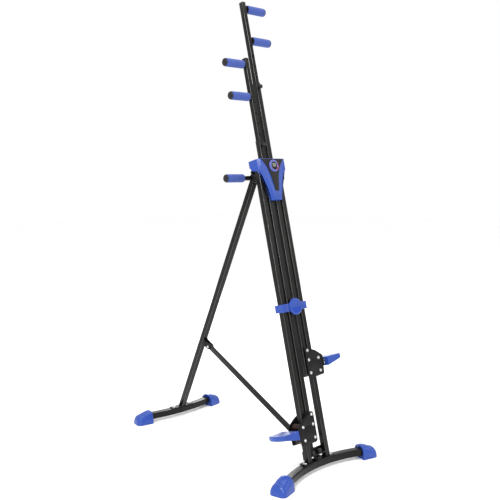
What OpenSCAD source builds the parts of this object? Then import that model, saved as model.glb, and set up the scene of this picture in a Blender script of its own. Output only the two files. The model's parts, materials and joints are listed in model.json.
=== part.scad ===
// Vertical climber: leaning twin-rail frame, two counter-moving sliders with pedals and
// telescoping handles, folding rear leg with a brace.
// X is across the machine, the user stands on the -Y side, +Z is up, the floor is z = 0.

/* [Frame] */
// Rearward lean of the rails, in degrees
lean = 14.15; // [13:0.05:15]
// Front to back length over the foot caps
base_depth = 1158; // [1120:2:1200]
// Length of the two fixed rails along the lean
rail_top = 1400; // [1396:1:1404]
// Width of every rail and slider tube
tube_w = 25; // [24:0.5:26]
// Depth of every rail and slider tube
tube_d = 28; // [27:0.5:29]
// Distance of a rail's inner face from the middle
rail_x = 46; // [45.5:0.5:48]
// Distance of a slider tube's inner face from the middle
slider_x = 9.5; // [9:0.5:10]

/* [Feet] */
// Front to back size of a base tube
base_w = 38; // [34:1:42]
// Height of a base tube
base_h = 32; // [28:1:34]
// Gap between a base tube and the floor
base_z = 15; // [12:1:18]
// Bend radius of the front base tube
front_radius = 590; // [560:10:640]
// Bend radius of the rear base tube
rear_radius = 900; // [860:10:960]
// Distance of the front foot caps' inner ends from the middle
front_cap_x = 241; // [230:1:250]
// Distance of the rear foot caps' inner ends from the middle
rear_cap_x = 192; // [185:1:205]
// Foot cap length, width and height
cap_size = [86, 80, 62]; // [40:1:100]
// Turn of the front foot caps about the vertical, in degrees
front_cap_turn = 15; // [10:1:20]
// Turn of the rear foot caps about the vertical, in degrees
rear_cap_turn = 10; // [6:1:14]

/* [Rear leg and brace] */
// Height of the fixed handlebar, which is also the leg's hinge
hinge_z = 1290; // [1285:1:1295]
// Slope of the rear leg from the vertical, in degrees
leg_angle = 24.9; // [24.5:0.1:25.3]
// Side of the square leg tube
leg_w = 28; // [28:1:30]
// Distance down the leg from the hinge to the brace pivot
brace_drop = 927; // [900:1:950]
// Distance of the brace pivot in front of the leg's centre line
brace_reach = 61; // [58:1:66]
// Side of the square brace bar
brace_w = 18; // [18:1:20]

/* [Sliders] */
// Height of the left slider tube's lower end along the rail
slider_low = 140; // [138:1:150]
// Length of a slider tube
slider_len = 1365; // [1355:1:1380]
// How much higher the right slider stands than the left one
slider_rise = 276; // [260:1:290]
// Gap between the front and rear carriage plates
plate_gap = 54; // [52:1:56]
// Roller radius
roller_r = 14.7; // [14:0.1:14.7]
// Height of the pedal's tread above the lower carriage bolts
tread_v = 52; // [48:1:56]
// Pedal size outward and along the rail's depth
pedal_size = [104, 98]; // [85:1:110]
// Forward rise of the tread from the rail's cross direction, in degrees
pedal_tilt = 3; // [0:0.5:5]

/* [Handles] */
// Height of the handle tube's top above the slider's top
handle_up = 390; // [370:1:400]
// Length of handle tube inside the slider
handle_in = 330; // [320:1:350]
// Distance between the two grips of one handle
grip_pitch = 154; // [140:1:165]
// Outer radius of the foam grips
grip_r = 19; // [17:0.5:20]
// Distance between the height-setting holes
hole_pitch = 50; // [50:1:50]

/* [Hidden] */
$fn = 48;
black = "#1c1c1e";
blue = "#2c49b8";
foam_blue = "#4a63c4";
nylon = "#2a2a2c";
steel = "#c8cacc";
eps = 1;
far = 400;
wall = 2;
slider_wall = 1.5;
rail_setback = 16;
hinge_setback = 404;
head_low = 1325;
guide_low = 1240;
head_top = 1385;
head_plate_q = 30;
cheek_x = 17;
cheek_t = 4;
stop_s = 71;
stop_t = 5;
bumper_h = 14;
base_top = base_z + base_h;
plate_t = 4;
floor_plate_top = base_top + plate_t;
front_base_y = 101.5 - base_depth / 2;
rear_base_y = base_depth / 2 - 70.5;
rail_foot_y = front_base_y - rail_setback;
rail_half = tube_d / 2;
rail_out = rail_x + tube_w;
slider_mid = slider_x + tube_w / 2;
plate_q = plate_gap / 2;
carriage_s = slider_low + 15;
bolt_r = 4;
inner_bolts = [101, 58, 0];
outer_bolts = [58, 0];
outer_bolt_x = rail_out + 0.3 + roller_r;
handle_w = tube_w - 2 * slider_wall - 1;
handle_d = tube_d - 2 * slider_wall - 1;
slider_top = slider_low + slider_len;
knob_s = slider_top - 23;
peg_r = 11;
grip_in = 44;
grip_out = 150;
first_grip = 30;
bar_r = 11;
bar_half = 177;
bar_grip_in = 77;
hinge_y = front_base_y + hinge_setback;
rope_r = 2;
rope_q = 22;
pulley_s = 1333;
pulley_r = 20;
lug_s = slider_low + 150;
collar_s = 735;
collar_h = 36;
console_top = 1413;
console_box_h = 50;
console_q = 39;
console_chamfer = [10, 14];
console_wall = 3;
timer_s = 1378;
timer_r = 28;
brace_angle = leg_angle + 1.3;
brace_len = 736;

// ---- places ----

module on_rail() translate([0, rail_foot_y, 0]) rotate([-lean, 0, 0]) children();
module on_leg() translate([0, hinge_y, hinge_z]) rotate([leg_angle, 0, 0]) children();
module on_brace()
    on_leg() translate([0, -brace_reach, -brace_drop]) rotate([brace_angle - leg_angle, 0, 0])
        children();
// One side of the machine: -1 is left, 1 is right
module side(dir) { if (dir < 0) mirror([1, 0, 0]) children(); else children(); }
module both_sides() { children(); mirror([1, 0, 0]) children(); }
// The slider frame of one side: the right one stands higher
module on_slider(dir)
    on_rail() translate([0, 0, dir > 0 ? slider_rise : 0]) side(dir) children();

// ---- shapes ----

// A box with its middle on the depth axis, from z0 to z1
module block(x0, x1, q0, q1, z0, z1)
    translate([x0, q0, z0]) cube([x1 - x0, q1 - q0, z1 - z0]);
// A round bar along the depth axis
module q_rod(r, q0, q1) translate([0, q0, 0]) rotate([-90, 0, 0]) cylinder(r=r, h=q1 - q0);
// A round bar along X
module x_rod(r, x0, x1) translate([x0, 0, 0]) rotate([0, 90, 0]) cylinder(r=r, h=x1 - x0);
module box_tube(w, d, z0, z1, t) {
    difference() {
        block(-w / 2, w / 2, -d / 2, d / 2, z0, z1);
        block(t - w / 2, w / 2 - t, t - d / 2, d / 2 - t, z0 - eps, z1 + eps);
    }
}
// A base tube bent to an arc, ends at +-half_x, swept towards -Y
module bent_tube(radius, half_x, hollow=true) {
    sweep_angle = asin(half_x / radius);
    translate([0, -radius, 0]) rotate([0, 0, 90 - sweep_angle])
        rotate_extrude(angle=2 * sweep_angle, $fn=180) translate([radius, base_z]) difference() {
            translate([-base_w / 2, 0]) square([base_w, base_h]);
            if (hollow)
                translate([wall - base_w / 2, wall]) square([base_w - 2 * wall, base_h - 2 * wall]);
        }
}
// A foot cap from its inner face outwards: an arch that falls to a rounded end
toe_r = 22;
toe_w = cap_size[1] / 2 - toe_r;
toe_u = cap_size[0] - toe_r;
arch_r = 24;
arch_l = 9;
// Bulge of the cap: place outwards, height, radius and half height
dome = [50, 24, 34, 24];
module foot_cap() {
    hull() {
        translate([0, -cap_size[1] / 2, 0]) cube([20, cap_size[1], 8]);
        for (w = [-toe_w, toe_w]) translate([toe_u, w, 0]) cylinder(r=toe_r, h=8);
        for (w = [-1, 1]) translate([0, w * (cap_size[1] / 2 - arch_r - 2), cap_size[2] - arch_r])
            rotate([0, 90, 0]) cylinder(r=arch_r, h=arch_l);
        translate([dome[0], 0, dome[1]]) scale([1, 1, dome[3] / dome[2]]) sphere(r=dome[2]);
    }
}
// How far a turned cap reaches from the middle of its inner face towards its end of the base
function cap_reach(turn) = toe_u * sin(turn) + toe_w * cos(turn) + toe_r;
// A domed bolt head on a washer, standing on z = 0, with its shank below
module base_bolt(shank) {
    cylinder(r=9.5, h=1.6);
    translate([0, 0, 1.6]) cylinder(r1=8, r2=4.5, h=5);
    translate([0, 0, -shank]) cylinder(r=bolt_r, h=shank);
}
module foam(x0, x1)
    difference() { x_rod(grip_r, x0, x1); x_rod(peg_r, x0 - eps, x1 + eps); }
plug_l = 3.5;
module end_plug(x) {
    x_rod(grip_r - 1.5, x, x + plug_l);
    translate([x + plug_l, 0, 0]) rotate([0, 90, 0])
        cylinder(r1=grip_r - 1.5, r2=grip_r - 7, h=plug_l);
}

// ---- base ----

// Length of base tube inside a foot cap
tube_in = 28;
module base_arc(back) {
    if (back) translate([0, rear_base_y, 0]) mirror([0, 1, 0])
        bent_tube(rear_radius, rear_cap_x + tube_in);
    else translate([0, front_base_y, 0]) bent_tube(front_radius, front_cap_x + tube_in);
}
module base_arc_solid(back) {
    if (back) translate([0, rear_base_y, 0]) mirror([0, 1, 0])
        bent_tube(rear_radius, rear_cap_x + tube_in, hollow=false);
    else translate([0, front_base_y, 0])
        bent_tube(front_radius, front_cap_x + tube_in, hollow=false);
}
module drilled_arc(back, x, y) {
    difference() {
        base_arc(back);
        for (dir = [-1, 1]) translate([dir * x, y, base_z - eps]) cylinder(r=bolt_r, h=base_h + 2);
    }
}
module foot_caps(back) {
    turn = back ? rear_cap_turn : -front_cap_turn;
    y = base_depth / 2 - cap_reach(abs(turn));
    x = back ? rear_cap_x : front_cap_x;
    difference() {
        both_sides() translate([x, back ? y : -y, 0]) rotate([0, 0, turn]) foot_cap();
        base_arc_solid(back);
    }
}
front_bolt_x = 82;
rear_bolt_x = 50;
foot_plate_y = front_base_y - 4;
module front_base_tube() color(black) drilled_arc(false, front_bolt_x, foot_plate_y);
module front_foot_caps() color(blue) foot_caps(false);
module foot_plate() color(black) {
    difference() {
        block(-100, 100, foot_plate_y - 17, foot_plate_y + 17, base_top, floor_plate_top);
        for (dir = [-1, 1]) translate([dir * front_bolt_x, foot_plate_y, 0])
            cylinder(r=bolt_r, h=2 * base_top);
    }
    block(-13, 13, foot_plate_y - 13, foot_plate_y + 13, floor_plate_top, floor_plate_top + 15);
}
module front_base_bolts() color(steel)
    for (dir = [-1, 1]) translate([dir * front_bolt_x, foot_plate_y, floor_plate_top])
        base_bolt(plate_t + base_h + 4);
module rear_base_tube() color(black) drilled_arc(true, rear_bolt_x, rear_base_y);
module rear_foot_caps() color(blue) foot_caps(true);
module rear_foot_plate() color(black) difference() {
    block(-68, 68, rear_base_y - 17, rear_base_y + 17, base_top, floor_plate_top);
    for (dir = [-1, 1]) translate([dir * rear_bolt_x, rear_base_y, 0])
        cylinder(r=bolt_r, h=2 * base_top);
}
module rear_base_bolts() color(steel)
    for (dir = [-1, 1]) translate([dir * rear_bolt_x, rear_base_y, floor_plate_top])
        base_bolt(plate_t + base_h + 4);

// ---- rails and what joins them ----

module rail(dir) color(black) difference() {
    on_rail() side(dir) translate([rail_x + tube_w / 2, 0, 0])
        box_tube(tube_w, tube_d, 0, rail_top, wall);
    translate([-far / 2, rail_foot_y - far / 2, -far]) cube([far, far, far + floor_plate_top]);
}
module left_rail() rail(-1);
module right_rail() rail(1);

// Hooked tongue behind the rails that the brace's lock pin hangs in
hook_q = 67.6;
hook_s = 118.7;
module lower_bracket() color(black) on_rail() {
    block(-rail_out, rail_out, rail_half, rail_half + plate_t, 62, 100);
    difference() {
        union() {
            block(-5, 5, rail_half + plate_t, hook_q + 14, 62, hook_s);
            translate([0, hook_q, hook_s]) x_rod(14, -5, 5);
            translate([0, rail_half + plate_t + 10, 0]) block(-5, 5, -10, hook_q - 28, 80, hook_s + 14);
        }
        block(-6, 6, hook_q - 5.6, hook_q + 5.6, 50, hook_s);
        translate([0, hook_q, hook_s]) x_rod(5.6, -6, 6);
        block(-6, 6, hook_q - 22, hook_q + 30, 50, hook_s - 16);
    }
}
module stop_bracket() color(black) on_rail()
    block(-rail_x, rail_x, -rail_half, rail_half, stop_s, stop_s + stop_t);
module stop_bumpers() color(nylon) on_rail()
    for (dir = [-1, 1]) translate([dir * slider_mid, 0, stop_s + stop_t])
        cylinder(r=11, h=bumper_h);

// Clamp collar halfway up; the sliders and the rope pass through it
module collar_half(q0, q1) difference() {
    block(-76, 76, q0, q1, collar_s - collar_h / 2, collar_s + collar_h / 2);
    for (dir = [-1, 1]) translate([dir * (rail_x + tube_w / 2), 0, 0])
        block(-tube_w / 2, tube_w / 2, -rail_half, rail_half, 0, rail_top);
    block(-rail_x, rail_x, -rail_half - 1, 25.5, 0, rail_top);
}
module collar_front() color(blue) on_rail() collar_half(-24, 0);
module collar_rear() color(blue) on_rail() collar_half(0, 29);
module collar_boss() color(blue) on_rail() translate([0, 0, collar_s]) {
    q_rod(38, -31, -24);
    translate([0, -31, 0]) rotate([90, 0, 0]) cylinder(r1=38, r2=33, h=3.5);
}

// Head: cross plate on standoffs, two cheeks that carry the handlebar
cheek_q = hinge_y - rail_foot_y;
bar_s = cheek_q * sin(lean) + hinge_z * cos(lean);
bar_q = cheek_q * cos(lean) - hinge_z * sin(lean);
module head_bracket() color(black) on_rail() {
    both_sides() block(rail_x, rail_out, rail_half, head_plate_q, head_low, head_top - 30);
    block(-rail_out, rail_out, head_plate_q, head_plate_q + cheek_t, head_low - 5, head_top);
    both_sides() difference() {
        union() {
            block(cheek_x, cheek_x + cheek_t, head_plate_q + cheek_t, bar_q, head_low + 6, head_top);
            translate([0, bar_q, bar_s]) x_rod(bar_r + 5, cheek_x, cheek_x + cheek_t);
        }
        translate([0, bar_q, bar_s]) x_rod(bar_r, cheek_x - eps, cheek_x + cheek_t + eps);
    }
}
module handlebar() color(black) translate([0, hinge_y, hinge_z]) difference() {
    x_rod(bar_r, -bar_half, bar_half);
    both_sides() x_rod(bar_r - 2, cheek_x + cheek_t + 5, bar_half + eps);
}
module handlebar_grips() color(foam_blue) translate([0, hinge_y, hinge_z])
    both_sides() difference() {
        x_rod(grip_r, bar_grip_in, bar_half);
        x_rod(bar_r, bar_grip_in - eps, bar_half + eps);
    }
module handlebar_end_caps() color(nylon) translate([0, hinge_y, hinge_z])
    both_sides() end_plug(bar_half);
// Nylon blocks inside the head that keep the sliders off the rails
module slider_guides() color(nylon) on_rail() both_sides()
    block(slider_x + tube_w + 0.4, rail_x, -rail_half, rail_half, guide_low, guide_low + 60);
module pulley_axle() color(steel) on_rail() translate([0, 0, pulley_s]) q_rod(5, 16, 30);
module pulley() color(nylon) on_rail() translate([0, 0, pulley_s]) difference() {
    union() {
        q_rod(pulley_r - 0.3, 17, 27);
        q_rod(pulley_r + 4, 17, 19);
        q_rod(pulley_r + 4, 25, 27);
    }
    q_rod(5.06, 16, 28);
}
// Rope from a slider's lug up and a quarter turn round the pulley
module rope(dir) color("dimgray") {
    low = lug_s + 14 + (dir > 0 ? slider_rise : 0);
    rope_x = pulley_r + rope_r;
    on_rail() side(dir) {
        translate([rope_x, rope_q, low]) cylinder(r=rope_r, h=pulley_s - low, $fn=24);
        translate([0, rope_q, pulley_s]) rotate([90, 0, 0])
            rotate_extrude(angle=90, $fn=64) translate([rope_x, 0]) circle(r=rope_r, $fn=24);
    }
}
module left_rope() rope(-1);
module right_rope() rope(1);

// ---- console ----

// V outline, one half: [half width, height along the rail]
box_low = console_top - console_box_h;
shell_v = [[86, console_top], [86, box_low], [68, 1341], [56, 1312], [45, 1285], [31, 1222]];
insert_v = [[69, console_top - 2], [54, 1393], [38, 1372], [23, 1331], [17, 1300], [11, 1264]];
function mirrored(half) = concat(half, [for (i = [len(half) - 1:-1:0]) [-half[i][0], half[i][1]]]);
module v_panel(half, q0, q1) {
    translate([0, q1, 0]) rotate([90, 0, 0]) linear_extrude(q1 - q0) polygon(mirrored(half));
}
// The same outline with its sides drawn in by inset on the front face
module v_bevel(half, inset, q0, q1) {
    n = 2 * len(half);
    back = mirrored(half);
    front = mirrored([for (c = half) [c[0] - inset, c[1]]]);
    polyhedron(concat([for (c = front) [c[0], q0, c[1]]], [for (c = back) [c[0], q1, c[1]]]),
        concat([[for (i = [0:n - 1]) i], [for (i = [2 * n - 1:-1:n]) i]],
            [for (i = [0:n - 1]) [i, i + n, (i + 1) % n + n, (i + 1) % n]]));
}
// Housing behind the panel, with its lower rear edge cut off
console_back = 27;
console_cut = 20;
module console_box() translate([-shell_v[0][0], 0, 0]) rotate([90, 0, 90])
    linear_extrude(2 * shell_v[0][0]) polygon([[-rail_half - eps, box_low],
        [console_back - console_cut, box_low], [console_back, box_low + console_cut],
        [console_back, console_top], [-rail_half - eps, console_top]]);
module console_shell() color(blue) on_rail() difference() {
    union() {
        v_bevel(shell_v, console_chamfer[0], -console_q, -console_q + console_chamfer[1]);
        v_panel(shell_v, -console_q + console_chamfer[1] - eps, -rail_half);
        console_box();
    }
    block(-rail_out, rail_out, -rail_half - 1.5, console_back - 2, 1100, console_top - console_wall);
    for (dir = [-1, 1]) translate([dir * slider_mid, 0, 0])
        block(-tube_w / 2 - 0.8, tube_w / 2 + 0.8, -rail_half - 0.8, rail_half + 0.8, box_low, 1500);
    v_panel(insert_v, -console_q - eps, -console_q + console_wall);
}
insert_rise = 2;
insert_q = -console_q - insert_rise;
module console_insert() color(black) on_rail() v_panel(insert_v, insert_q, -console_q + console_wall);
button_place = [14, -13];
timer_h = 6;
timer_rim = 3.5;
lens_half = 11;
timer_q = insert_q - timer_h;
module timer_case() color(blue) on_rail() translate([0, 0, timer_s]) difference() {
    union() {
        q_rod(timer_r, timer_q, insert_q);
        translate([0, timer_q, 0]) rotate([90, 0, 0]) cylinder(r1=timer_r, r2=24.5, h=timer_rim);
    }
    block(-lens_half, lens_half, timer_q - 10, timer_q - 1.5, -5, 12);
    translate([button_place[0], 0, button_place[1]]) q_rod(3.6, timer_q - 10, timer_q + 3);
}
module timer_lens() color("#9aa38c") on_rail() translate([0, 0, timer_s])
    block(-lens_half, lens_half, timer_q - 3, timer_q - 1.5, -5, 12);
module timer_button() color("#c03040") on_rail()
    translate([button_place[0], 0, timer_s + button_place[1]])
        q_rod(3.3, timer_q - timer_rim - 1.5, timer_q);

// ---- rear leg and brace ----

module rear_leg_tube() color(black) difference() {
    on_leg() {
        box_tube(leg_w, leg_w, -1500, -22, wall);
        difference() {
            union() {
                x_rod(17, -leg_w / 2, leg_w / 2);
                block(-leg_w / 2, leg_w / 2, -leg_w / 2, leg_w / 2, -22, -14);
            }
            x_rod(bar_r + 0.06, -20, 20);
        }
    }
    translate([-far / 2, rear_base_y - far, -far]) cube([far, 2 * far, far + floor_plate_top]);
}
module leg_bracket() color(black) on_leg() {
    block(-14, 14, -leg_w / 2 - 3, -leg_w / 2, -brace_drop - 18, -brace_drop + 18);
    both_sides() difference() {
        union() {
            block(brace_w / 2 + 0.5, 14, -brace_reach, -leg_w / 2 - 3, -brace_drop - 13,
                -brace_drop + 13);
            translate([0, -brace_reach, -brace_drop]) x_rod(13, brace_w / 2 + 0.5, 14);
        }
        translate([0, -brace_reach, -brace_drop]) x_rod(bolt_r, 0, 20);
    }
}
module leg_bracket_bolt() color(steel) on_leg() translate([0, -brace_reach, -brace_drop]) {
    x_rod(bolt_r, -18, 18);
    x_rod(7.5, -19, -14);
    x_rod(7, 14, 20);
}
module brace_bar() color(black) on_brace() difference() {
    block(-brace_w / 2, brace_w / 2, -brace_len - 12, 12, -brace_w / 2, brace_w / 2);
    block(2 - brace_w / 2, brace_w / 2 - 2, -brace_len + 42, -16, 2 - brace_w / 2, brace_w / 2 - 2);
    x_rod(bolt_r + 0.05, -20, 20);
    translate([0, -brace_len, 0]) x_rod(5, -20, 20);
    block(-5.8, 5.8, -brace_len - 20, -brace_len + 30, -20, 20);
}
module brace_lock_pin() color(steel) on_brace() translate([0, -brace_len, 0]) {
    x_rod(5, -16, 13);
    x_rod(8, -20, -brace_w / 2);
}

// ---- sliders ----

module bolt_places() {
    for (v = inner_bolts) translate([slider_mid, 0, carriage_s + v]) children();
    for (v = outer_bolts) translate([outer_bolt_x, 0, carriage_s + v]) children();
}
module slider_tube(dir) color(black) on_slider(dir) {
    difference() {
        translate([slider_mid, 0, 0])
            box_tube(tube_w, tube_d, slider_low, slider_top - 3, slider_wall);
        for (v = inner_bolts) translate([slider_mid, 0, carriage_s + v]) q_rod(bolt_r, -30, 30);
        translate([slider_mid, 0, knob_s]) q_rod(3.56, -30, 0);
    }
    block(slider_mid - 5, slider_mid + 5, rail_half, rope_q + 4, lug_s, lug_s + 13.6);
}
// Corner circles of a carriage plate: [distance out, height, radius]
plate_corners = [[21, 101, 13], [70, 84, 10], [103, 58, 13], [106.5, -17.5, 1.5], [58, -11, 11],
    [21, -8, 13]];
module carriage_plate(q) {
    difference() {
        translate([0, q + plate_t, carriage_s]) rotate([90, 0, 0]) linear_extrude(plate_t) hull()
            for (c = plate_corners) translate([c[0], c[1]]) circle(r=c[2]);
        bolt_places() q_rod(bolt_r + 0.15, -60, 60);
    }
}
module carriage_bolt() {
    q_rod(bolt_r, -plate_q - plate_t, plate_q + plate_t);
    translate([0, -plate_q - plate_t, 0]) rotate([90, 0, 0]) cylinder(r1=7.5, r2=4, h=4.5);
    translate([0, plate_q + plate_t, 0]) rotate([-90, 0, 0]) cylinder(r=7.5, h=6.5, $fn=6);
}
module spacer(q0, q1) difference() { q_rod(7, q0, q1); q_rod(bolt_r, q0 - eps, q1 + eps); }
module carriage_bolts(dir) color(steel) on_slider(dir) {
    bolt_places() carriage_bolt();
    for (v = inner_bolts) translate([slider_mid, 0, carriage_s + v]) {
        spacer(-plate_q, -rail_half);
        spacer(rail_half, plate_q);
    }
}
module roller(dir, v) color(nylon) on_slider(dir) translate([outer_bolt_x, 0, carriage_s + v])
    difference() {
        q_rod(roller_r, -plate_q + 1.5, plate_q - 1.5);
        q_rod(bolt_r + 0.05, -plate_q, plate_q);
    }
module nylon_guides(dir) color(nylon) on_slider(dir) {
    block(slider_x + tube_w, rail_x - 0.4, -12, 12, carriage_s - 6, carriage_s + 108);
    translate([slider_mid, 0, 0]) difference() {
        block(-tube_w / 2, tube_w / 2, -rail_half, rail_half, slider_top - 3, slider_top);
        block(-handle_w / 2 - 0.3, handle_w / 2 + 0.3, -handle_d / 2 - 0.3, handle_d / 2 + 0.3,
            slider_top - 4, slider_top + 1);
    }
}
pedal_x = 118.5;
pedal_front = -45;
// The tread, tapered below and rounded at its outer end
module tread_slab(tread) intersection() {
    out = pedal_x + pedal_size[0];
    translate([0, pedal_front + pedal_size[1], 0]) rotate([90, 0, 0])
        linear_extrude(pedal_size[1])
            polygon([[pedal_x, tread], [out + 9, tread], [out + 12, tread - 4],
                [out + 12, tread - 18], [out + 4, tread - 23], [pedal_x, tread - 40]]);
    translate([0, 0, tread - 50]) linear_extrude(60) union() {
        translate([pedal_x, pedal_front]) square(pedal_size);
        translate([out - 90, pedal_front + pedal_size[1] / 2]) circle(r=100, $fn=96);
    }
}
module pedal(dir) color(blue) on_slider(dir) {
    tread = carriage_s + tread_v;
    translate([0, 0, tread]) rotate([-pedal_tilt, 0, 0]) translate([0, 0, -tread])
        tread_slab(tread);
    block(outer_bolt_x + roller_r + 1.5, pedal_x + 2, -plate_q, plate_q, tread - 32, tread - 5);
}
module handle_tube(dir) color(black) on_slider(dir) difference() {
    union() {
        translate([slider_mid, 0, 0])
            box_tube(handle_w, handle_d, slider_top - handle_in, slider_top + handle_up - 3, 1.5);
        for (k = [0, 1]) translate([0, 0, slider_top + handle_up - first_grip - k * grip_pitch])
            x_rod(peg_r, slider_mid + handle_w / 2 - 1, grip_out);
    }
    for (k = [-4:4]) translate([slider_mid, 0, knob_s + k * hole_pitch]) q_rod(4, -30, 0);
}
module handle_plugs(dir) color(nylon) on_slider(dir) {
    translate([slider_mid, 0, slider_top + handle_up])
        block(-handle_w / 2, handle_w / 2, -handle_d / 2, handle_d / 2, -3, 0);
    for (k = [0, 1]) translate([0, 0, slider_top + handle_up - first_grip - k * grip_pitch])
        end_plug(grip_out);
}
module grips(dir) color(foam_blue) on_slider(dir)
    for (k = [0, 1]) translate([0, 0, slider_top + handle_up - first_grip - k * grip_pitch])
        foam(grip_in, grip_out);
module knob(dir) color(nylon) on_slider(dir) translate([slider_mid, 0, knob_s]) {
    q_rod(3.5, -18, -10.5);
    q_rod(6, -20, -16);
    q_rod(10, -32, -20);
}
module left_slider_tube() slider_tube(-1);
module right_slider_tube() slider_tube(1);
module left_front_plate() color(black) on_slider(-1) carriage_plate(-plate_q - plate_t);
module right_front_plate() color(black) on_slider(1) carriage_plate(-plate_q - plate_t);
module left_rear_plate() color(black) on_slider(-1) carriage_plate(plate_q);
module right_rear_plate() color(black) on_slider(1) carriage_plate(plate_q);
module left_carriage_bolts() carriage_bolts(-1);
module right_carriage_bolts() carriage_bolts(1);
module left_upper_roller() roller(-1, outer_bolts[0]);
module left_lower_roller() roller(-1, outer_bolts[1]);
module right_upper_roller() roller(1, outer_bolts[0]);
module right_lower_roller() roller(1, outer_bolts[1]);
module left_nylon_guides() nylon_guides(-1);
module right_nylon_guides() nylon_guides(1);
module left_pedal() pedal(-1);
module right_pedal() pedal(1);
module left_handle_tube() handle_tube(-1);
module right_handle_tube() handle_tube(1);
module left_handle_plugs() handle_plugs(-1);
module right_handle_plugs() handle_plugs(1);
module left_grips() grips(-1);
module right_grips() grips(1);
module left_knob() knob(-1);
module right_knob() knob(1);

front_base_tube();
front_foot_caps();
foot_plate();
front_base_bolts();
left_rail();
right_rail();
lower_bracket();
stop_bracket();
stop_bumpers();
collar_front();
collar_rear();
collar_boss();
head_bracket();
handlebar();
handlebar_grips();
handlebar_end_caps();
slider_guides();
pulley_axle();
console_shell();
console_insert();
timer_case();
timer_lens();
timer_button();
pulley();
left_rope();
right_rope();
rear_leg_tube();
leg_bracket();
leg_bracket_bolt();
rear_foot_plate();
rear_base_tube();
rear_base_bolts();
rear_foot_caps();
brace_bar();
brace_lock_pin();
left_slider_tube();
left_front_plate();
left_rear_plate();
left_carriage_bolts();
left_upper_roller();
left_lower_roller();
left_nylon_guides();
left_pedal();
left_handle_tube();
left_handle_plugs();
left_grips();
left_knob();
right_slider_tube();
right_front_plate();
right_rear_plate();
right_carriage_bolts();
right_upper_roller();
right_lower_roller();
right_nylon_guides();
right_pedal();
right_handle_tube();
right_handle_plugs();
right_grips();
right_knob();
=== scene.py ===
import json
import math

import bmesh
import bpy
from mathutils import Matrix, Vector


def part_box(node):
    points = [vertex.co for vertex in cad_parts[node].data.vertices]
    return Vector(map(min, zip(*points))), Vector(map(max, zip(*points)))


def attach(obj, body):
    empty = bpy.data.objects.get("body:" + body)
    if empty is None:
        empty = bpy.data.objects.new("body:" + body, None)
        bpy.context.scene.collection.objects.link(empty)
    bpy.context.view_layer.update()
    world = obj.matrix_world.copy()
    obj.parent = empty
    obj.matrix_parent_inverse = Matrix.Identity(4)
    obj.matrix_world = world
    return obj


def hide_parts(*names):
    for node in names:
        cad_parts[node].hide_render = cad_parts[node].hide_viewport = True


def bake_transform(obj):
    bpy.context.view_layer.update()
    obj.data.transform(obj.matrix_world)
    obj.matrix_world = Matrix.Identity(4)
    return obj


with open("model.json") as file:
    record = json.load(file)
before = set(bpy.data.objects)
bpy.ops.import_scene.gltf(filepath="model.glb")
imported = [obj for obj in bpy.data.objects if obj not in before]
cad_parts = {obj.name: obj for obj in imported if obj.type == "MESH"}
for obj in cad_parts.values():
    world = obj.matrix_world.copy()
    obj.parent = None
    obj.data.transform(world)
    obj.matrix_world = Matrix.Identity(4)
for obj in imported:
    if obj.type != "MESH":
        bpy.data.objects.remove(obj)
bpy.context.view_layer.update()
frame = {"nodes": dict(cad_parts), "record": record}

MM = 0.001

# ---- camera, light and stage ----

CAMERA_PLACE = (-2.283, -2.483, 1.330)
CAMERA_TURN = -43.07     # degrees about Z
CAMERA_TILT = 6.5        # degrees down
LENS = 50.88
FLOOR_HALF = 14.0

bpy.context.scene.view_settings.view_transform = "Standard"


def add_camera():
    data = bpy.data.cameras.new("camera")
    data.lens = LENS
    data.sensor_width = 36.0
    cam = bpy.data.objects.new("camera", data)
    bpy.context.scene.collection.objects.link(cam)
    cam.location = CAMERA_PLACE
    cam.rotation_euler = (math.radians(90 - CAMERA_TILT), 0, math.radians(CAMERA_TURN))
    bpy.context.scene.camera = cam


def add_light(name, place, size, power, target=(0, 0, 0.9)):
    data = bpy.data.lights.new(name, "AREA")
    data.shape = "DISK"
    data.size = size
    data.energy = power
    lamp = bpy.data.objects.new(name, data)
    bpy.context.scene.collection.objects.link(lamp)
    lamp.location = place
    lamp.rotation_euler = (Vector(target) - Vector(place)).to_track_quat("-Z", "Y").to_euler()


def add_world():
    world = bpy.data.worlds.new("world")
    bpy.context.scene.world = world
    world.use_nodes = True
    world.node_tree.nodes["Background"].inputs["Color"].default_value = (1, 1, 1, 1)
    world.node_tree.nodes["Background"].inputs["Strength"].default_value = 1.0


# ---- materials ----

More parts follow.
